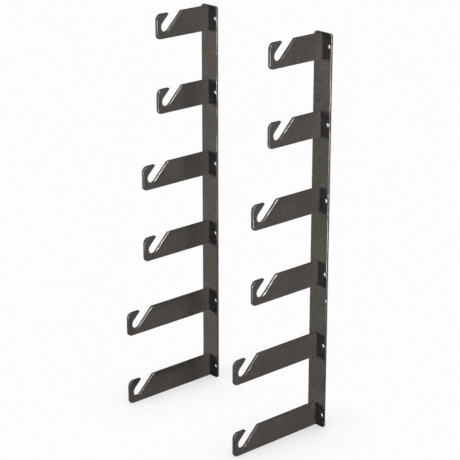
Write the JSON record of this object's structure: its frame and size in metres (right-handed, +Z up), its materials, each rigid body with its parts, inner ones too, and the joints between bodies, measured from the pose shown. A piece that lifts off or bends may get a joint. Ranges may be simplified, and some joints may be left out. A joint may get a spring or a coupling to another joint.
{
  "type": "wall rack pair with open hooks",
  "caption": "Pair of upright flat steel wall bars with hooked flat arms, longer towards the bottom, whose slanting open slots hold rods, rolls or cues laid across both.",
  "frame": {"origin": "middle of the left bar's back face, on the wall plane", "axes": "+X along the wall from the left rack to the right one, +Y into the wall, +Z up; the arms point along -Y"},
  "size_m": [0.365, 0.224, 0.8],
  "materials": {
    "powder_coat": "fine satin dark grey powder coat",
    "screw_steel": "zinc plated"
  },
  "bodies": {
    "root": {"left_bar": "powder_coat", "left_arm_1": "powder_coat", "left_arm_1_screws": "screw_steel", "left_arm_2": "powder_coat", "left_arm_2_screws": "screw_steel", "left_arm_3": "powder_coat", "left_arm_3_screws": "screw_steel", "left_arm_4": "powder_coat", "left_arm_4_screws": "screw_steel", "left_arm_5": "powder_coat", "left_arm_5_screws": "screw_steel", "left_arm_6": "powder_coat", "left_arm_6_screws": "screw_steel", "right_bar": "powder_coat", "right_arm_1": "powder_coat", "right_arm_1_screws": "screw_steel", "right_arm_2": "powder_coat", "right_arm_2_screws": "screw_steel", "right_arm_3": "powder_coat", "right_arm_3_screws": "screw_steel", "right_arm_4": "powder_coat", "right_arm_4_screws": "screw_steel", "right_arm_5": "powder_coat", "right_arm_5_screws": "screw_steel", "right_arm_6": "powder_coat", "right_arm_6_screws": "screw_steel"}
  },
  "joints": []
}
